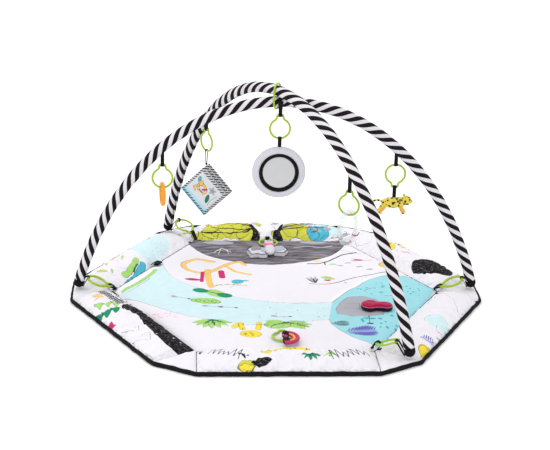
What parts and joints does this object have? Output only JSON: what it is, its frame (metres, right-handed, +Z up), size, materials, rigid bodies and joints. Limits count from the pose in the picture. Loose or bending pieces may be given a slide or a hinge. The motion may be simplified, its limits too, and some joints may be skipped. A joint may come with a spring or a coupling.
{
  "type": "activity play gym",
  "caption": "Six-sided padded play mat with raised side bolsters, crossed sprung arches in striped sleeves, and soft toys hung on open plastic rings.",
  "frame": {"origin": "on the floor under the middle of the mat", "axes": "+Z up, front side of the mat towards -Y, arch 1 along X"},
  "size_m": [1.1048, 1.0188, 0.5968],
  "materials": {
    "base_fabric": "matte woven polyester",
    "mat_fabric": "soft brushed polyester, printed, quilted",
    "sleeve_fabric": "black and off-white helical stripes",
    "rod_plastic": "moulded",
    "webbing": "narrow woven tape",
    "ring_plastic": "satin moulded",
    "teether_rubber": "soft matte",
    "mirror_cloth": "brushed cloth",
    "bezel_cloth": "piped edge",
    "mirror_film": "baby-safe mirror film",
    "clear_plastic": "clear moulded",
    "bead_plastic": "coloured beads",
    "book_cloth": "printed crinkle cloth",
    "book_binding": "pale blue binding",
    "leopard_cloth": "printed plush",
    "plush_cloth": "plush with grey patches",
    "melon_rubber": "two-colour soft rubber",
    "pillow_side_cloth": "satin cloth",
    "pillow_top_cloth": "satin cloth"
  },
  "bodies": {
    "mat": {"base_sheet": "base_fabric", "inner_pad": "mat_fabric", "side_bolster_1": "mat_fabric", "side_bolster_2": "mat_fabric", "side_bolster_3": "mat_fabric", "side_bolster_4": "mat_fabric", "side_bolster_5": "mat_fabric", "side_bolster_6": "mat_fabric", "corner_gusset_1": "mat_fabric", "corner_gusset_2": "mat_fabric", "corner_gusset_3": "mat_fabric", "corner_gusset_4": "mat_fabric", "corner_gusset_5": "mat_fabric", "corner_gusset_6": "mat_fabric", "corner_ring_1": "ring_plastic", "corner_ring_2": "ring_plastic", "corner_ring_3": "ring_plastic", "corner_ring_4": "ring_plastic", "arch_1_sleeve": "sleeve_fabric", "arch_1_rod": "rod_plastic", "arch_1_left_foot": "webbing", "arch_1_right_foot": "webbing", "teether_arch_strap": "webbing", "mirror_arch_strap": "webbing", "leopard_arch_strap": "webbing", "front_loop_inner": "webbing", "front_loop_outer": "webbing", "front_ring": "ring_plastic", "plush_ring": "ring_plastic", "plush_toy": "plush_cloth", "pillow_side": "pillow_side_cloth", "pillow_top": "pillow_top_cloth"},
    "arch_2": {"arch_2_sleeve": "sleeve_fabric", "arch_2_rod": "rod_plastic", "arch_2_left_foot": "webbing", "arch_2_right_foot": "webbing", "book_arch_strap": "webbing", "rattle_arch_strap": "webbing", "crossing_ring": "ring_plastic"},
    "teether_ring": {"teether_ring": "ring_plastic"},
    "teether": {"teether_toy": "teether_rubber"},
    "mirror_ring": {"mirror_ring": "ring_plastic"},
    "mirror": {"mirror_hanger": "webbing", "mirror_pad": "mirror_cloth", "mirror_bezel": "bezel_cloth", "mirror_plate": "mirror_film"},
    "leopard_ring": {"leopard_ring": "ring_plastic"},
    "leopard": {"leopard_hanger": "webbing", "leopard_plush": "leopard_cloth"},
    "book_ring": {"book_ring": "ring_plastic"},
    "book": {"book_cord": "webbing", "book_spine": "book_binding", "book_page": "book_cloth"},
    "book_front": {"book_front_cover": "book_cloth"},
    "book_back": {"book_back_cover": "book_cloth"},
    "rattle_ring": {"rattle_ring": "ring_plastic"},
    "rattle": {"rattle_hoop": "clear_plastic", "rattle_chamber": "clear_plastic", "rattle_beads": "bead_plastic"},
    "melon": {"melon_teether": "melon_rubber"}
  },
  "joints": [
    {"name": "arch_2_tilt", "type": "hinge", "parent": "mat", "child": "arch_2", "pos_m": [0, 0, 0.035], "axis": [-0.5592, 0.829, 0], "range_deg": [-32, 34], "deforming": ["crossing_ring"]},
    {"name": "teether_ring_swing", "type": "hinge", "parent": "mat", "child": "teether_ring", "pos_m": [-0.31, -0.00731, 0.3705], "axis": [1, 0, 0], "range_deg": [-45, 45]},
    {"name": "teether_swing", "type": "hinge", "parent": "teether_ring", "child": "teether", "pos_m": [-0.31, -0.00731, 0.308], "axis": [1, 0, 0], "range_deg": [-40, 40]},
    {"name": "mirror_ring_swing", "type": "hinge", "parent": "mat", "child": "mirror_ring", "pos_m": [-0.0045, -0.02622, 0.514], "axis": [1, 0, 0], "range_deg": [-40, 40]},
    {"name": "mirror_swing", "type": "hinge", "parent": "mirror_ring", "child": "mirror", "pos_m": [-0.0045, -0.02622, 0.4515], "axis": [1, 0, 0], "range_deg": [-30, 30]},
    {"name": "leopard_ring_swing", "type": "hinge", "parent": "mat", "child": "leopard_ring", "pos_m": [0.308, -0.00734, 0.3755], "axis": [1, 0, 0], "range_deg": [-45, 45]},
    {"name": "leopard_swing", "type": "hinge", "parent": "leopard_ring", "child": "leopard", "pos_m": [0.308, -0.00734, 0.313], "axis": [1, 0, 0], "range_deg": [-40, 40]},
    {"name": "book_ring_swing", "type": "hinge", "parent": "arch_2", "child": "book_ring", "pos_m": [-0.18961, 0.26051, 0.3905], "axis": [0.5736, -0.8191, 0], "range_deg": [-40, 40]},
    {"name": "book_swing", "type": "hinge", "parent": "book_ring", "child": "book", "pos_m": [-0.18961, 0.26051, 0.328], "axis": [0.5736, -0.8191, 0], "range_deg": [-35, 35]},
    {"name": "rattle_ring_swing", "type": "hinge", "parent": "arch_2", "child": "rattle_ring", "pos_m": [0.15651, -0.25389, 0.384], "axis": [0.9063, -0.4226, 0], "range_deg": [-45, 45]},
    {"name": "rattle_swing", "type": "hinge", "parent": "rattle_ring", "child": "rattle", "pos_m": [0.15651, -0.25389, 0.3215], "axis": [0.9063, -0.4226, 0], "range_deg": [-40, 40]},
    {"name": "book_front_open", "type": "hinge", "parent": "book", "child": "book_front", "pos_m": [-0.22775, 0.26638, 0.17421], "axis": [0.6409, -0.2988, -0.7071], "range_deg": [0, 60]},
    {"name": "book_back_open", "type": "hinge", "parent": "book", "child": "book_back", "pos_m": [-0.21862, 0.28596, 0.17421], "axis": [-0.6409, 0.2988, 0.7071], "range_deg": [0, 60]},
    {"name": "melon_flip", "type": "hinge", "parent": "mat", "child": "melon", "pos_m": [0.002, -0.35, 0.0296], "axis": [0, -1, 0], "range_deg": [0, 100]}
  ]
}
